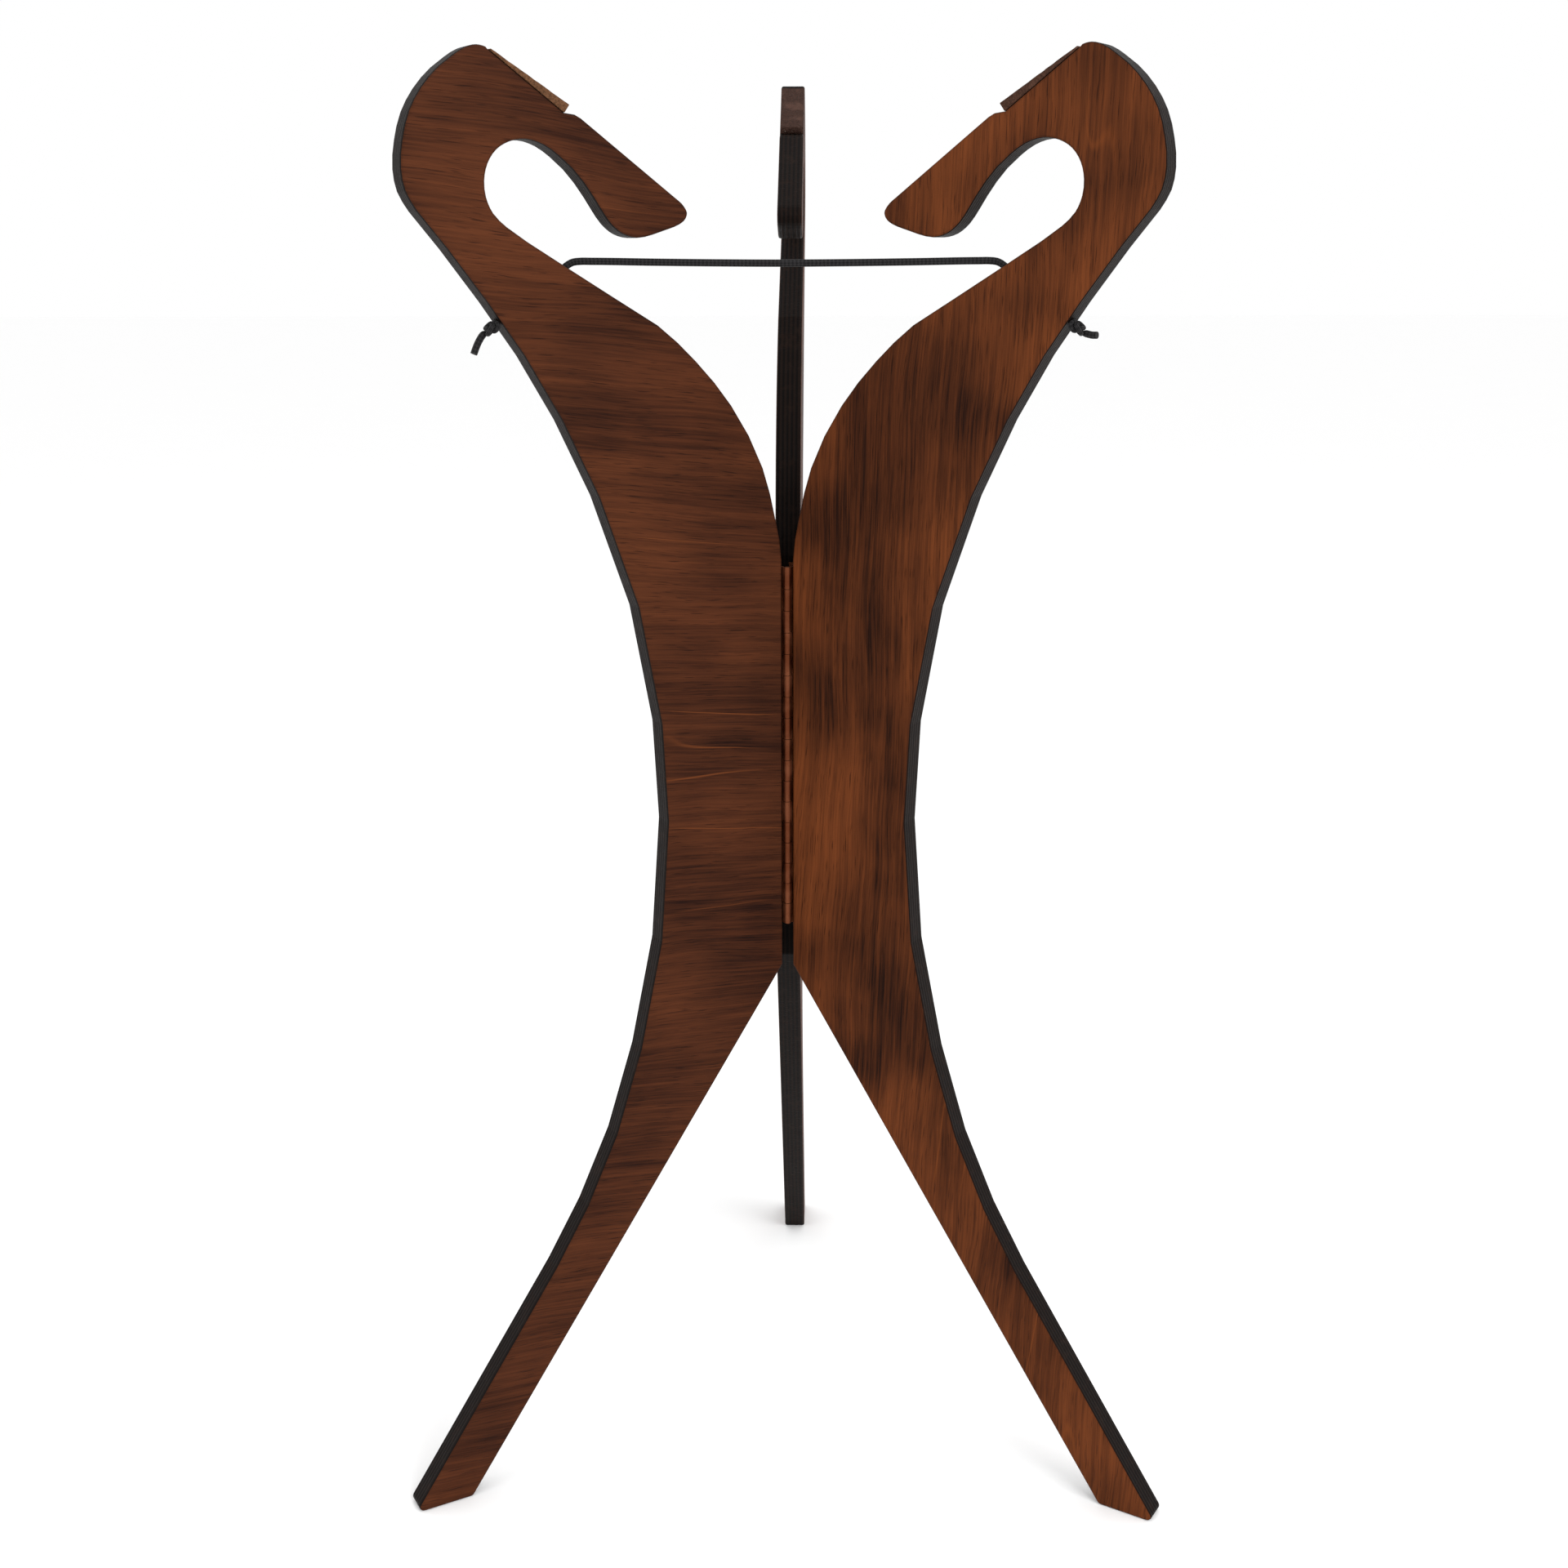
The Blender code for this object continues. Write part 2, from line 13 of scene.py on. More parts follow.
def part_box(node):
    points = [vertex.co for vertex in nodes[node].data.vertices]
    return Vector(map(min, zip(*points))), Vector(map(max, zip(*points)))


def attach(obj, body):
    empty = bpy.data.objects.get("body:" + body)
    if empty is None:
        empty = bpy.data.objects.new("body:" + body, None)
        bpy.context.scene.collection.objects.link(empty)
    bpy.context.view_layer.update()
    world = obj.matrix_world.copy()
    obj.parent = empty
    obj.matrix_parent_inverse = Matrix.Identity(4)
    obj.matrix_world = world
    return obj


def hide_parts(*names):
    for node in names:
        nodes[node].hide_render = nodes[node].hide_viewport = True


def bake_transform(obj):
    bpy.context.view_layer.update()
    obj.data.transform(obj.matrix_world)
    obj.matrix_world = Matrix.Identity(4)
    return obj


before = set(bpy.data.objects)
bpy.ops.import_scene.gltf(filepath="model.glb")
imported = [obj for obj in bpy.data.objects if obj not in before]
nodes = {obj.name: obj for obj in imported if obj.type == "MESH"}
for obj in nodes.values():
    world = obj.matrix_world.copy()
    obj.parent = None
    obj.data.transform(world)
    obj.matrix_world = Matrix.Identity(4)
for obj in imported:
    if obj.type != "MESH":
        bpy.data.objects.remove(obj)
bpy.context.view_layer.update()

# The stand's axis, from the front hinge's pin, which lies this far in front of it
PIN_OUT = 0.0108
pin_lowest, pin_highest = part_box("front_hinge_pin")
AXIS = Vector((0.0, (pin_lowest.y + pin_highest.y) / 2 + PIN_OUT, 0.0))
UP = Vector((0.0, 0.0, 1.0))
HEADINGS = {"left": math.radians(210), "right": math.radians(330), "rear": math.radians(90)}
BODIES = {"left": "left_side", "right": "right_side", "rear": "rear_side"}

# Camera, as the photograph was taken
CAMERA_DISTANCE = 1.1432
CAMERA_HEIGHT = 0.7417
CAMERA_PITCH = math.radians(15.6)
CAMERA_STAND_YAW = math.radians(-1.25)
CAMERA_AIM_YAW = math.radians(-0.12)
CAMERA_ROLL = math.radians(-0.11)
CAMERA_LENS = 44.4
CAMERA_SENSOR = 36.0

# Stage
FLOOR_REACH = 20.0
FLOOR_DROP = 0.0002
FLOOR_SHADES = ((0.985, 0.985, 0.985), (0.992, 0.992, 0.992))
WORLD_COLOUR = (1.0, 1.0, 1.0, 1.0)
WORLD_STRENGTH = 1.0
SOFT_BOX = 1.6
LAMPS = {
    "key": {"place": (1.5, -2.0, 2.1), "aim": (0.0, 0.0, 0.45), "power": 40.0},
    "fill": {"place": (-1.8, -1.6, 1.4), "aim": (0.0, 0.0, 0.4), "power": 10.0},
}

# Each leg's wood: the grain's slope on the face, the stain's dark and light colours, a shift that gives
# the leg its own pattern, and how strongly cloudy blotches and thin light streaks show. The legs share one
# stain, but its colours are set lighter on the right leg and darker on the left, with the rear between:
# painted light and painted shade for how the light falls on each leg
WOODS = {
    "left": {"grain_angle": math.radians(6), "dark": (0.012, 0.0038, 0.0024),
             "light": (0.095, 0.0275, 0.0100), "seed": 2.0, "blotch": 0.10, "streak": 0.8},
    "right": {"grain_angle": math.radians(88), "dark": (0.013, 0.0038, 0.0018),
              "light": (0.140, 0.0370, 0.0100), "seed": 9.0, "blotch": 0.34, "streak": 0.3},
    "rear": {"grain_angle": math.radians(87), "dark": (0.012, 0.0038, 0.0020),
             "light": (0.115, 0.0320, 0.0100), "seed": 17.0, "blotch": 0.2, "streak": 0.4},
}

# Wood noises: waves per metre along the grain, across it and through the board, then a shift along it
WAVER = ((5, 9, 9), 0.0)
FIBRES = ((22, 900, 300), 3.1)
STRANDS = ((9, 240, 120), 7.7)
FIGURE = ((3.5, 34, 20), 12.3)
CLOUD = ((9, 9, 9), 21.9)
PORES = ((70, 1500, 300), 31.0)
VEINS = ((2.2, 26, 10), 40.0)
VEIN_PATCHES = ((7, 11, 5), 55.0)

# How far the grain wavers, and how much each noise lightens the wood
WAVER_SWING = 0.018
FIBRE_SHARE = 0.34
STRAND_SHARE = 0.26
FIGURE_SHARE = 0.22
CLOUD_SHARE = 0.30
TONE_DROP = 0.06
PORE_SHARE = 0.55
PORE_TINT = (0.35, 0.4, 0.5)
VEIN_WIDTH = 0.006
VEIN_TINT = (1.55, 1.5, 1.2)
WOOD_BUMP = 0.00022
WOOD_BUMP_STRENGTH = 0.55
WOOD_ROUGHNESS = 0.40
WOOD_ROUGHNESS_SWING = 0.16
WOOD_SPECULAR = 0.045

# Sawn edges: a band of plies repeats at this distance through the board
PLY_PAIR = 0.0027
PLY_RAGGEDNESS = 1.2
PLY_DARK = (0.0032, 0.0021, 0.0018)
PLY_LIGHT = (0.0095, 0.0052, 0.0038)
EDGE_WEAR = (0.0170, 0.0085, 0.0055)
EDGE_WEAR_WAVES = 160.0

# Pads: corners of the wedge in the leg's plane, as distance out and height
PAD_LOW = Vector((0.136919, 0.808247))
PAD_HIGH = Vector((0.177081, 0.837565))
PAD_HEAD_TOP = Vector((0.176491, 0.838373))
PAD_FOOT_TOP = Vector((0.133971, 0.812286))
PAD_WIDTH = 0.0144
PAD_STEPS_ALONG = 30
PAD_STEPS_ACROSS = 10
PAD_UNEVENNESS = 0.00022
PAD_WAVES = 260.0
PAD_EDGE = 0.0003

LEATHERS = {
    "left": {"name": "light_leather", "colour": (0.150, 0.070, 0.034), "seed": 0.3, "pale_specks": 0.9},
    "right": {"name": "dark_leather", "colour": (0.072, 0.034, 0.022), "seed": 1.7, "pale_specks": 0.9},
    "rear": {"name": "rear_leather", "colour": (0.060, 0.031, 0.023), "seed": 3.1, "pale_specks": 0.4},
}
LEATHER_GRAIN_WAVES = 900.0
LEATHER_CELL_WAVES = 650.0
LEATHER_WEAR_WAVES = 90.0
LEATHER_DARKER = 0.42
LEATHER_LIGHTER = 1.7
LEATHER_WEAR = 0.6
LEATHER_BUMP = 0.00025
LEATHER_BUMP_STRENGTH = 0.7
LEATHER_SPECULAR = 0.06
# Pale specks, strongest near each pad's low end
PALE_SPECK_WAVES = 330.0
PALE_SPECK_COLOUR = (0.48, 0.42, 0.34)
PALE_SPECK_FULL_RISE = 0.0035
PALE_SPECK_END_RISE = 0.0065

# Hinges
LEAF_BRASS = {"colour": (0.205, 0.070, 0.033), "roughness": 0.42}
SCREW_BRASS = {"colour": (0.26, 0.12, 0.055), "roughness": 0.38}
TARNISH_TINT = (0.55, 0.45, 0.40)
ROLLING_WAVES = (900.0, 900.0, 60.0)
ROLLING_SHARE = 0.35
PATCH_WAVES = 70.0
BRASS_BUMP = 0.00008
BRASS_BUMP_STRENGTH = 0.4
PATCH_ROUGHNESS = 0.2

# Cord: the left half of its free stretch, measured from the stand's axis, and its tails, whose points are
# distance out of the hole, drop and way forward
CORD_RADIUS = 0.002
CORD_HOLE_INNER = Vector((0.1373, 0.7294))
CORD_HOLE_OUTER = Vector((0.1764, 0.7017))
CORD_END_GAP = 0.0003
CORD_ROUTE = [(-0.1162, -0.0668, 0.7315), (-0.1140, -0.0659, 0.7325), (-0.1105, -0.0655, 0.7329),
              (-0.1040, -0.0654, 0.7329), (-0.0700, -0.0654, 0.7324), (-0.0350, -0.0654, 0.7320),
              (0.0, -0.0654, 0.7318)]
LEFT_TAIL = [(0.0100, 0.0006, -0.0010), (0.0150, 0.0022, -0.0006), (0.0205, 0.0052, -0.0002)]
RIGHT_TAIL = [(0.0100, 0.0002, -0.0008), (0.0130, -0.0012, -0.0004), (0.0155, -0.0030, 0.0)]
STRETCH_RADIUS = CORD_RADIUS * 0.97
TAIL_RADIUS = CORD_RADIUS * 0.95
STRETCH_STEP = 0.002
END_STEP = 0.0006
TUBE_SIDES = 16

# Knot: three lobes, open where the cord comes in and where it leaves
KNOT_CORD_RADIUS = 0.0012
KNOT_STRAND_GAP = 0.0005
KNOT_SHIFT = 0.003
KNOT_OPENING = math.radians(30)
KNOT_LOBE_ANGLE = math.radians(60)
KNOT_STEPS = 20
LEAD_IN_DROP = 0.45
LEAD_IN_REACH = 0.86
LEAD_IN_RISE = 0.62

BRAID_MAP = "braid"
BRAID_PITCH = 0.0042
BRAID_STRANDS = 4
# The strands' crowns get a painted highlight and the grooves between them painted shade
BRAID_GROOVE_SHADE = (0.0030, 0.0028, 0.0032)
BRAID_CROWN_HIGHLIGHT = (0.0190, 0.0175, 0.0185)
BRAID_FUZZ = (0.036, 0.033, 0.034)
BRAID_FUZZ_WAVES = 2600.0
BRAID_BUMP = 0.00035
BRAID_BUMP_STRENGTH = 0.8
BRAID_ROUGHNESS = 0.72


def out_of(heading):
    """The direction in which a leg leaves the stand's axis."""
    return Vector((math.cos(heading), math.sin(heading), 0.0))


def square_to(heading):
    """The direction square to a leg's panel."""
    return out_of(heading).cross(UP)


def in_leg(heading, flat, aside=0.0):
    """A point of a leg's plane, given as distance out and height, in the model's frame."""
    return AXIS + out_of(heading) * flat[0] + UP * flat[1] + square_to(heading) * aside


def tinted(colour, tint):
    """A colour with each channel scaled by its own factor."""
    return tuple(channel * factor for channel, factor in zip(colour, tint))


class Graph:
    """Builds a material's nodes with short calls."""

    def __init__(self, name):
        self.material = bpy.data.materials.new(name)
        self.material.use_nodes = True
        self.tree = self.material.node_tree
        self.shader = self.tree.nodes["Principled BSDF"]

    def node(self, kind, **settings):
        made = self.tree.nodes.new(kind)
        for key, value in settings.items():
            setattr(made, key, value)
        return made

    def feed(self, socket, value):
        """Links another node's output to a socket, or sets the socket's own value."""
        if isinstance(value, bpy.types.NodeSocket):
            self.tree.links.new(value, socket)
        else:
            socket.default_value = value

    def place(self):
        return self.node("ShaderNodeTexCoord").outputs["Object"]

    def math(self, operation, a, b=None, clamp=False):
        made = self.node("ShaderNodeMath", operation=operation, use_clamp=clamp)
        self.feed(made.inputs[0], a)
        if b is not None:
            self.feed(made.inputs[1], b)
        return made.outputs[0]

    def plus(self, a, b):
        return self.math("ADD", a, b)

    def minus(self, a, b):
        return self.math("SUBTRACT", a, b)

    def times(self, a, b):
        return self.math("MULTIPLY", a, b)

    def vector(self, operation, a, b):
        made = self.node("ShaderNodeVectorMath", operation=operation)
        self.feed(made.inputs[0], a)
        self.feed(made.inputs[1], b)
        return made.outputs["Value" if operation == "DOT_PRODUCT" else "Vector"]

    def combine(self, x, y, z):
        made = self.node("ShaderNodeCombineXYZ")
        for socket, value in zip(made.inputs, (x, y, z)):
            self.feed(socket, value)
        return made.outputs[0]

    def split(self, vector):
        made = self.node("ShaderNodeSeparateXYZ")
        self.feed(made.inputs[0], vector)
        return made.outputs

    def noise(self, vector, scale=1.0, detail=3.0, roughness=0.55):
        made = self.node("ShaderNodeTexNoise")
        self.feed(made.inputs["Vector"], vector)
        made.inputs["Scale"].default_value = scale
        made.inputs["Detail"].default_value = detail
        made.inputs["Roughness"].default_value = roughness
        return made.outputs["Fac"]

    def ramp(self, value, low, high, to_low=0.0, to_high=1.0):
        made = self.node("ShaderNodeMapRange", interpolation_type="SMOOTHSTEP")
        self.feed(made.inputs["Value"], value)
        made.inputs["From Min"].default_value = low
        made.inputs["From Max"].default_value = high
        made.inputs["To Min"].default_value = to_low
        made.inputs["To Max"].default_value = to_high
        return made.outputs["Result"]

    def mix(self, share, first, second):
        made = self.node("ShaderNodeMix", data_type="RGBA")
        colours = {socket.name: socket for socket in made.inputs if socket.type == "RGBA"}
        self.feed(made.inputs["Factor"], share)
        for name, value in (("A", first), ("B", second)):
            self.feed(colours[name], (*value, 1.0) if isinstance(value, tuple) else value)
        return next(socket for socket in made.outputs if socket.type == "RGBA")

    def bump(self, height, distance, strength):
        made = self.node("ShaderNodeBump")
        made.inputs["Strength"].default_value = strength
        made.inputs["Distance"].default_value = distance
        self.feed(made.inputs["Height"], height)
        self.feed(self.shader.inputs["Normal"], made.outputs["Normal"])

    def look(self, colour, roughness, **sockets):
        self.feed(self.shader.inputs["Base Color"], colour)
        self.feed(self.shader.inputs["Roughness"], roughness)
        for name, value in sockets.items():
            self.feed(self.shader.inputs[name.replace("_", " ")], value)
        return self.material


def plywood(name, heading, grain_angle, dark, light, seed, blotch, streak):
    """Stained plywood: fibres along the grain on the faces, dark plies on the sawn edges."""
    g = Graph(name)
    point = g.vector("SUBTRACT", g.place(), AXIS)
    along = out_of(heading) * math.cos(grain_angle) + UP * math.sin(grain_angle)
    across = UP * math.cos(grain_angle) - out_of(heading) * math.sin(grain_angle)
    u = g.vector("DOT_PRODUCT", point, along)
    v = g.vector("DOT_PRODUCT", point, across)
    n = g.vector("DOT_PRODUCT", point, square_to(heading))

    def layer(waves, detail, roughness=0.55):
        (per_u, per_v, per_n), shift = waves
        where = g.combine(g.plus(g.times(u, per_u), seed + shift), g.times(v, per_v), g.times(n, per_n))
        return g.noise(where, detail=detail, roughness=roughness)

    # The grain wavers, so every later noise is read at a shifted place across it
    v = g.plus(v, g.times(g.minus(layer(WAVER, 2.0), 0.5), WAVER_SWING))
    fibres = layer(FIBRES, 4.0, 0.65)
    strands = layer(STRANDS, 3.0)
    figure = layer(FIGURE, 3.0)
    cloud = layer(CLOUD, 3.0, 0.5)
    pores = g.ramp(layer(PORES, 1.0), 0.60, 0.74)
    vein = g.ramp(g.math("ABSOLUTE", g.minus(layer(VEINS, 1.0), 0.5)), 0.0, VEIN_WIDTH, 1.0, 0.0)
    vein = g.times(vein, g.ramp(layer(VEIN_PATCHES, 1.0), 0.52, 0.66))

    tone = g.times(g.ramp(fibres, 0.28, 0.72), FIBRE_SHARE)
    tone = g.plus(tone, g.times(g.ramp(strands, 0.3, 0.7), STRAND_SHARE))
    tone = g.plus(tone, g.times(g.ramp(figure, 0.32, 0.68), FIGURE_SHARE))
    tone = g.plus(tone, g.times(g.ramp(cloud, 0.32, 0.68), CLOUD_SHARE + blotch))
    tone = g.math("SUBTRACT", tone, TONE_DROP + blotch / 2, clamp=True)
    # dark and light come set per leg, lighter on the right leg and darker on the left, as painted light and
    # painted shade
    face = g.mix(tone, dark, light)
    face = g.mix(g.times(pores, PORE_SHARE), face, tinted(dark, PORE_TINT))
    face = g.mix(g.times(vein, streak), face, tinted(light, VEIN_TINT))

    # Sawn edges: plies as ragged bands, under a stain that has worn thin in places
    ply = g.math("SINE", g.times(n, 2 * math.pi / PLY_PAIR))
    plies = g.ramp(g.plus(ply, g.times(g.minus(strands, 0.5), PLY_RAGGEDNESS)), -0.7, 0.7)
    wear = g.times(g.ramp(g.noise(point, scale=EDGE_WEAR_WAVES), 0.5, 0.75), 0.5)
    edge = g.mix(wear, g.mix(plies, PLY_DARK, PLY_LIGHT), EDGE_WEAR)

    normal = g.node("ShaderNodeTexCoord").outputs["Normal"]
    facing = g.math("ABSOLUTE", g.vector("DOT_PRODUCT", normal, square_to(heading)))
    on_face = g.ramp(facing, 0.72, 0.985)
    colour = g.mix(on_face, edge, face)

    height = g.plus(g.times(fibres, 0.7), g.times(pores, -0.8))
    height = g.plus(height, g.times(g.times(plies, 0.7), g.minus(1.0, on_face)))
    g.bump(height, WOOD_BUMP, WOOD_BUMP_STRENGTH)
    roughness = g.plus(g.times(strands, WOOD_ROUGHNESS_SWING), WOOD_ROUGHNESS)
    return g.look(colour, roughness, Specular_IOR_Level=WOOD_SPECULAR)


def leather(name, colour, seed, pale_specks):
    """Split leather: a napped, worn surface with pale specks near its low end."""
    g = Graph(name)
    place = g.place()
    spot = g.vector("ADD", place, (seed, seed, seed))
    grain = g.noise(spot, scale=LEATHER_GRAIN_WAVES, detail=4.0, roughness=0.7)
    cells = g.node("ShaderNodeTexVoronoi", feature="DISTANCE_TO_EDGE")
    g.feed(cells.inputs["Vector"], spot)
    cells.inputs["Scale"].default_value = LEATHER_CELL_WAVES
    wear = g.noise(spot, scale=LEATHER_WEAR_WAVES)
    darker = tinted(colour, [LEATHER_DARKER] * 3)
    lighter = tinted(colour, [LEATHER_LIGHTER] * 3)
    top = g.mix(g.ramp(grain, 0.3, 0.7), darker, colour)
    top = g.mix(g.times(g.ramp(wear, 0.5, 0.72), LEATHER_WEAR), top, lighter)
    speck = g.ramp(g.noise(spot, scale=PALE_SPECK_WAVES, detail=2.0), 0.66, 0.70)
    height = g.split(place)["Z"]
    low_end = g.ramp(height, PAD_LOW.y + PALE_SPECK_FULL_RISE, PAD_LOW.y + PALE_SPECK_END_RISE, 1.0, 0.0)
    top = g.mix(g.times(g.times(speck, low_end), pale_specks), top, PALE_SPECK_COLOUR)
    relief = g.plus(grain, g.ramp(cells.outputs["Distance"], 0.0, 0.25))
    g.bump(relief, LEATHER_BUMP, LEATHER_BUMP_STRENGTH)
    return g.look(top, g.ramp(grain, 0.2, 0.8, 0.62, 0.86), Specular_IOR_Level=LEATHER_SPECULAR)


def brass(name, colour, roughness):
    """Tarnished metal with faint rolling marks and darker patches."""
    g = Graph(name)
    place = g.place()
    marks = g.noise(g.vector("MULTIPLY", place, ROLLING_WAVES), detail=2.0)
    patches = g.noise(place, scale=PATCH_WAVES, detail=4.0)
    tarnish = tinted(colour, TARNISH_TINT)
    tone = g.mix(g.ramp(patches, 0.36, 0.68), tarnish, colour)
    tone = g.mix(g.times(g.ramp(marks, 0.4, 0.7), ROLLING_SHARE), tone, tarnish)
    g.bump(marks, BRASS_BUMP, BRASS_BUMP_STRENGTH)
    shine = g.ramp(patches, 0.3, 0.7, roughness, roughness + PATCH_ROUGHNESS)
    return g.look(tone, shine, Metallic=1.0)


def braid(name):
    """Black braided polyester, with its strands crossing on the surface; their crowns painted lighter and
    the grooves between them painted darker, as painted highlight and painted shade.
    """
    g = Graph(name)
    unrolled = g.split(g.node("ShaderNodeUVMap", uv_map=BRAID_MAP).outputs["UV"])
    turn_u = g.times(unrolled["X"], 2 * math.pi * BRAID_STRANDS)
    turn_v = g.times(unrolled["Y"], 2 * math.pi)
    one = g.math("SINE", g.plus(turn_u, turn_v))
    other = g.math("SINE", g.minus(turn_u, turn_v))
    strands = g.ramp(g.times(one, other), -0.8, 0.8)
    fuzz = g.noise(g.place(), scale=BRAID_FUZZ_WAVES, detail=2.0)
    # Painted shade in the grooves between strands and a painted highlight on their crowns, following the
    # bump
    colour = g.mix(strands, BRAID_GROOVE_SHADE, BRAID_CROWN_HIGHLIGHT)
    colour = g.mix(g.times(g.ramp(fuzz, 0.5, 0.8), 0.5), colour, BRAID_FUZZ)
    g.bump(g.plus(strands, g.times(fuzz, 0.4)), BRAID_BUMP, BRAID_BUMP_STRENGTH)
    return g.look(colour, BRAID_ROUGHNESS, Specular_IOR_Level=0.12, Sheen_Weight=0.05)


def floor_material():
    """Pale, even studio floor."""
    g = Graph("studio_floor")
    faint = g.noise(g.place(), scale=3.0, detail=2.0)
    return g.look(g.mix(faint, *FLOOR_SHADES), 0.9, Specular_IOR_Level=0.1)


def mesh_object(name, bm, material):
    """Turns a bmesh into an object of the scene, with one material."""
    mesh = bpy.data.meshes.new(name)
    bm.to_mesh(mesh)
    bm.free()
    mesh.materials.append(material)
    made = bpy.data.objects.new(name, mesh)
    bpy.context.scene.collection.objects.link(made)
    return made


def hermite(points, start, end, longest):
    """Points on a smooth curve through the given ones, no further apart than asked."""
    last = len(points) - 1
    chords = [points[i + 1] - points[i] for i in range(last)]
    tangents = [start.normalized()]
    for before, after in zip(chords, chords[1:]):
        tangents.append((before / before.length_squared + after / after.length_squared).normalized())
    tangents.append(end.normalized())
    curve = [points[0]]
    for i, chord in enumerate(chords):
        steps = max(1, math.ceil(chord.length / longest))
        for k in range(1, steps + 1):
            s = k / steps
            curve.append(
                points[i] * (2 * s**3 - 3 * s**2 + 1)
                + tangents[i] * (s**3 - 2 * s**2 + s) * chord.length
                + points[i + 1] * (3 * s**2 - 2 * s**3)
                + tangents[i + 1] * (s**3 - s**2) * chord.length
            )
    return curve


def tube(name, points, radii, material):
    """A closed round tube along points, unrolled in a UV map along and round its surface."""
    bm = bmesh.new()
    uv = bm.loops.layers.uv.new(BRAID_MAP)
    along = (points[1] - points[0]).normalized()
    side = along.orthogonal().normalized()
    rings = []
    lengths = []
    run = 0.0
    for i, point in enumerate(points):
        ahead = points[min(i + 1, len(points) - 1)] - points[max(i - 1, 0)]
        turned = along.rotation_difference(ahead.normalized())
        along = ahead.normalized()
        side = turned @ side
        side = (side - along * side.dot(along)).normalized()
        other = along.cross(side)
        if i:
            run += (point - points[i - 1]).length
        lengths.append(run / BRAID_PITCH)
        ring = []
        for k in range(TUBE_SIDES):
            angle = 2 * math.pi * k / TUBE_SIDES
            ring.append(bm.verts.new(point + (side * math.cos(angle) + other * math.sin(angle)) * radii[i]))
        rings.append(ring)
    for i in range(len(rings) - 1):
        for k in range(TUBE_SIDES):
            near = (k + 1) % TUBE_SIDES
            face = bm.faces.new((rings[i][k], rings[i][near], rings[i + 1][near], rings[i + 1][k]))
            face.smooth = True
            turns = (k / TUBE_SIDES, (k + 1) / TUBE_SIDES, (k + 1) / TUBE_SIDES, k / TUBE_SIDES)
            heights = (lengths[i], lengths[i], lengths[i + 1], lengths[i + 1])
            for loop, turn, height in zip(face.loops, turns, heights):
                loop[uv].uv = (turn, height)
    for ring, tip in ((rings[0], points[0]), (rings[-1], points[-1])):
        middle = bm.verts.new(tip)
        for k in range(TUBE_SIDES):
            bm.faces.new((ring[k], ring[(k + 1) % TUBE_SIDES], middle))
    bmesh.ops.recalc_face_normals(bm, faces=bm.faces)
    return mesh_object(name, bm, material)


def knot_route(heading, front, tail):
    """A cord's end: through the neck, round an overhand knot and out as a tail.

    front is 1 or -1, whichever turns the direction square to the leg towards the front.
    """
    out = (CORD_HOLE_OUTER - CORD_HOLE_INNER).normalized()
    down = Vector((-abs(out.y), -abs(out.x)))
    ring = 2 * KNOT_CORD_RADIUS + KNOT_STRAND_GAP / 2
    swell = KNOT_CORD_RADIUS + KNOT_STRAND_GAP / 2
    lobe = ring + swell
    middle = lobe * math.sin(KNOT_LOBE_ANGLE) + KNOT_CORD_RADIUS + CORD_END_GAP

    def in_knot(x, y, z):
        flat = CORD_HOLE_OUTER + out * (y + middle) - down * z
        return in_leg(heading, flat, front * (KNOT_SHIFT - x))

    first = in_leg(heading, CORD_HOLE_INNER + out * CORD_END_GAP)
    last = in_leg(heading, CORD_HOLE_OUTER)
    lead_in = [(lobe, -middle * LEAD_IN_DROP, swell), (lobe * LEAD_IN_REACH, ring * LEAD_IN_RISE, swell)]
    loop = []
    for k in range(KNOT_STEPS + 1):
        t = KNOT_OPENING + (2 * math.pi - 2 * KNOT_OPENING) * k / KNOT_STEPS
        reach = ring + swell * math.cos(3 * t)
        loop.append((reach * math.cos(2 * t), reach * math.sin(2 * t), swell * math.sin(3 * t)))
    lead_out = [(x, -y, -z) for x, y, z in reversed(lead_in)]
    rounds = [in_knot(*place) for place in lead_in + loop + lead_out]
    route = [first, (first + last) / 2, last] + rounds
    for reach, drop, forward in tail:
        flat = CORD_HOLE_OUTER + out * reach + down * drop
        route.append(in_leg(heading, flat, front * forward))
    radii = [CORD_RADIUS] * 3 + [KNOT_CORD_RADIUS] * len(rounds) + [TAIL_RADIUS] * len(tail)
    return route, radii


def smooth_tube_route(route, marks, longest):
    """A finer route with its radii eased from mark to mark."""
    points = []
    radii = []
    for i in range(len(route) - 1):
        a = route[max(i - 1, 0)]
        b = route[i]
        c = route[i + 1]
        d = route[min(i + 2, len(route) - 1)]
        steps = max(1, math.ceil((c - b).length / longest))
        for k in range(steps):
            s = k / steps
            points.append(
                0.5 * (2 * b + (c - a) * s + (2 * a - 5 * b + 4 * c - d) * s * s
                       + (3 * b - a - 3 * c + d) * s**3)
            )
            ease = s * s * (3 - 2 * s)
            radii.append(marks[i] * (1 - ease) + marks[i + 1] * ease)
    points.append(route[-1])
    radii.append(marks[-1])
    return points, radii


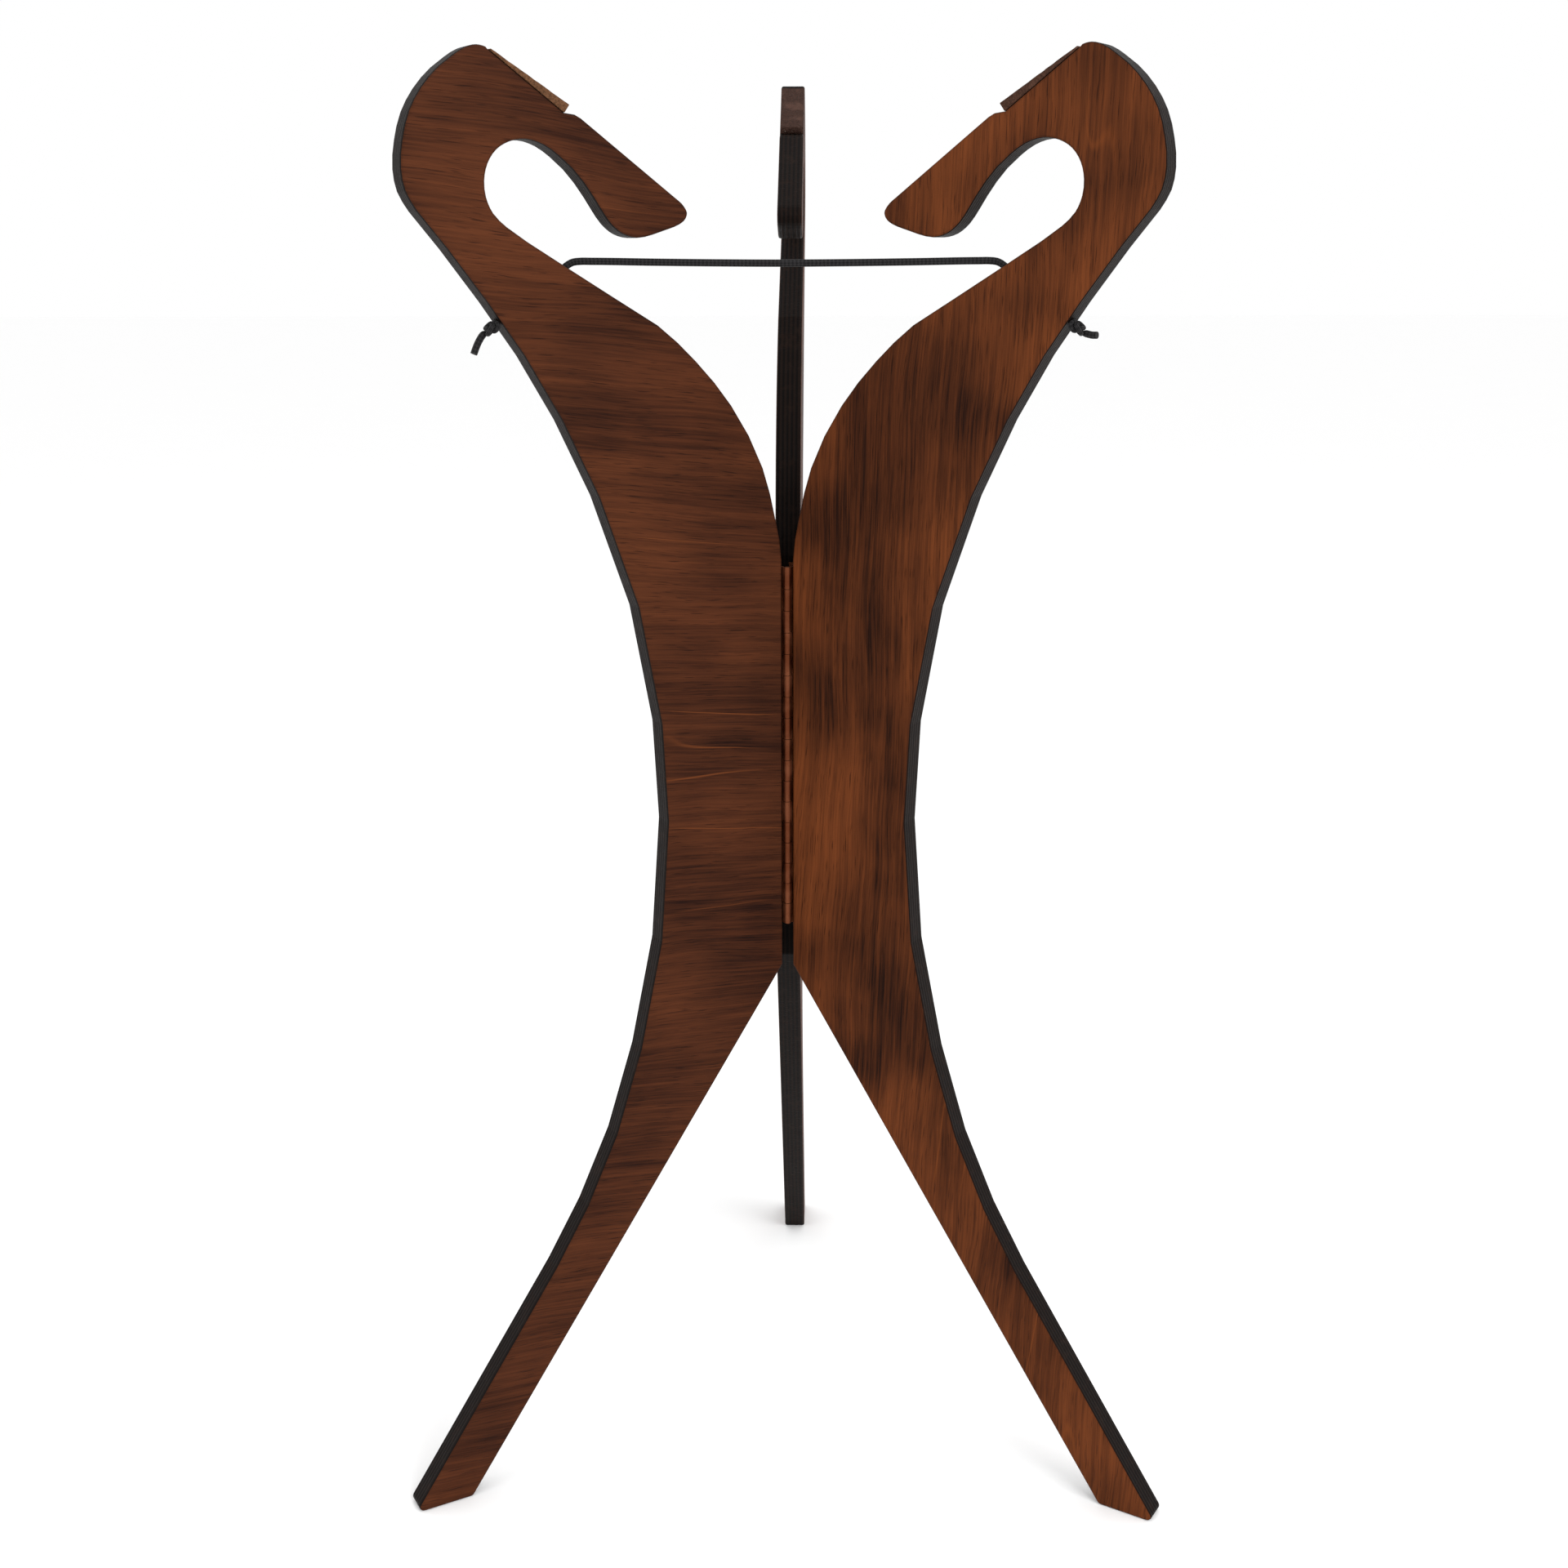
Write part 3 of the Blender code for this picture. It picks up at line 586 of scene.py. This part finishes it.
def pad(side, material):
    """A leather wedge on an arm's seat, with softened edges and a slightly uneven top."""
    heading = HEADINGS[side]
    bm = bmesh.new()
    grid = {}
    for level, (near, far) in enumerate(((PAD_LOW, PAD_HIGH), (PAD_FOOT_TOP, PAD_HEAD_TOP))):
        for i in range(PAD_STEPS_ALONG + 1):
            flat = near.lerp(far, i / PAD_STEPS_ALONG)
            for j in range(PAD_STEPS_ACROSS + 1):
                aside = -PAD_WIDTH / 2 + PAD_WIDTH * j / PAD_STEPS_ACROSS
                point = in_leg(heading, flat, aside)
                if level:
                    point += UP * PAD_UNEVENNESS * noise.noise(point * PAD_WAVES)
                grid[level, i, j] = bm.verts.new(point)
    for i in range(PAD_STEPS_ALONG):
        for j in range(PAD_STEPS_ACROSS):
            for level in (0, 1):
                bm.faces.new([grid[level, i + a, j + b] for a, b in ((0, 0), (1, 0), (1, 1), (0, 1))])
    for i in range(PAD_STEPS_ALONG):
        for j in (0, PAD_STEPS_ACROSS):
            bm.faces.new((grid[0, i, j], grid[0, i + 1, j], grid[1, i + 1, j], grid[1, i, j]))
    for j in range(PAD_STEPS_ACROSS):
        for i in (0, PAD_STEPS_ALONG):
            bm.faces.new((grid[0, i, j], grid[0, i, j + 1], grid[1, i, j + 1], grid[1, i, j]))
    bmesh.ops.recalc_face_normals(bm, faces=bm.faces)
    made = mesh_object(side + "_leather_pad", bm, material)
    made.data.shade_smooth()
    soften = made.modifiers.new("soften", "BEVEL")
    soften.width = PAD_EDGE
    soften.segments = 2
    soften.limit_method = "ANGLE"
    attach(made, BODIES[side])
    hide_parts(side + "_pad")


def dress(node, material):
    """Gives a CAD node its material."""
    node.data.materials.clear()
    node.data.materials.append(material)


def add_area(name, place, aim, power):
    """A soft box that shines from one point towards another."""
    light = bpy.data.lights.new(name, "AREA")
    light.shape = "SQUARE"
    light.size = SOFT_BOX
    light.energy = power
    made = bpy.data.objects.new(name, light)
    bpy.context.scene.collection.objects.link(made)
    made.location = place
    made.rotation_euler = (Vector(aim) - Vector(place)).to_track_quat("-Z", "Y").to_euler()


# Camera
camera_data = bpy.data.cameras.new("camera")
camera_data.lens = CAMERA_LENS
camera_data.sensor_width = CAMERA_SENSOR
camera_data.sensor_fit = "HORIZONTAL"
camera = bpy.data.objects.new("camera", camera_data)
bpy.context.scene.collection.objects.link(camera)
camera.matrix_world = (
    Matrix.Translation(AXIS)
    @ Matrix.Rotation(-CAMERA_STAND_YAW, 4, "Z")
    @ Matrix.Translation((0.0, -CAMERA_DISTANCE, CAMERA_HEIGHT))
    @ Matrix.Rotation(-CAMERA_AIM_YAW, 4, "Z")
    @ Matrix.Rotation(math.pi / 2 - CAMERA_PITCH, 4, "X")
    @ Matrix.Rotation(CAMERA_ROLL, 4, "Z")
)
bpy.context.scene.camera = camera

# Cord: its free stretch is one fixed tube, its knotted ends ride on the legs
cord_material = braid("black_braid")
mouth = in_leg(HEADINGS["left"], CORD_HOLE_INNER) - AXIS
half_route = [mouth] + [Vector(place) for place in CORD_ROUTE]
other_half = [Vector((-place.x, place.y, place.z)) for place in reversed(half_route[:-1])]
hole_out = (CORD_HOLE_INNER - CORD_HOLE_OUTER).normalized()
leave = out_of(HEADINGS["left"]) * hole_out.x + UP * hole_out.y
enter = Vector((leave.x, -leave.y, -leave.z))
route = [AXIS + place for place in hermite(half_route + other_half, leave, enter, STRETCH_STEP)]
stretch = tube("spread_cord_braid", route, [STRETCH_RADIUS] * len(route), cord_material)
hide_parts("spread_cord")
for side, front, tail in (("left", -1, LEFT_TAIL), ("right", 1, RIGHT_TAIL)):
    fine, radii = smooth_tube_route(*knot_route(HEADINGS[side], front, tail), END_STEP)
    end = tube(side + "_cord_end", fine, radii, cord_material)
    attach(end, BODIES[side])
    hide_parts(side + "_cord_knot")
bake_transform(stretch)

# Legs
for side, wood in WOODS.items():
    dress(nodes[side + "_leg"], plywood(side + "_plywood", HEADINGS[side], **wood))

# Pads
for side, hide in LEATHERS.items():
    pad(side, leather(**hide))

# Hinges
leaf_brass = brass("aged_brass", **LEAF_BRASS)
screw_brass = brass("screw_brass", **SCREW_BRASS)
for name, node in nodes.items():
    if name.endswith("_leaf"):
        dress(node, leaf_brass)
    elif name.endswith("_pin") or "_screw_" in name:
        dress(node, screw_brass)

# Stage
floor_bm = bmesh.new()
bmesh.ops.create_grid(floor_bm, x_segments=2, y_segments=2, size=FLOOR_REACH)
floor = mesh_object("floor", floor_bm, floor_material())
floor.location = (0.0, 0.0, -FLOOR_DROP)

world = bpy.data.worlds.new("studio")
bpy.context.scene.world = world
world.use_nodes = True
background = world.node_tree.nodes["Background"]
background.inputs["Color"].default_value = WORLD_COLOUR
background.inputs["Strength"].default_value = WORLD_STRENGTH
for name, lamp in LAMPS.items():
    add_area(name, **lamp)
bpy.context.scene.view_settings.view_transform = "Standard"
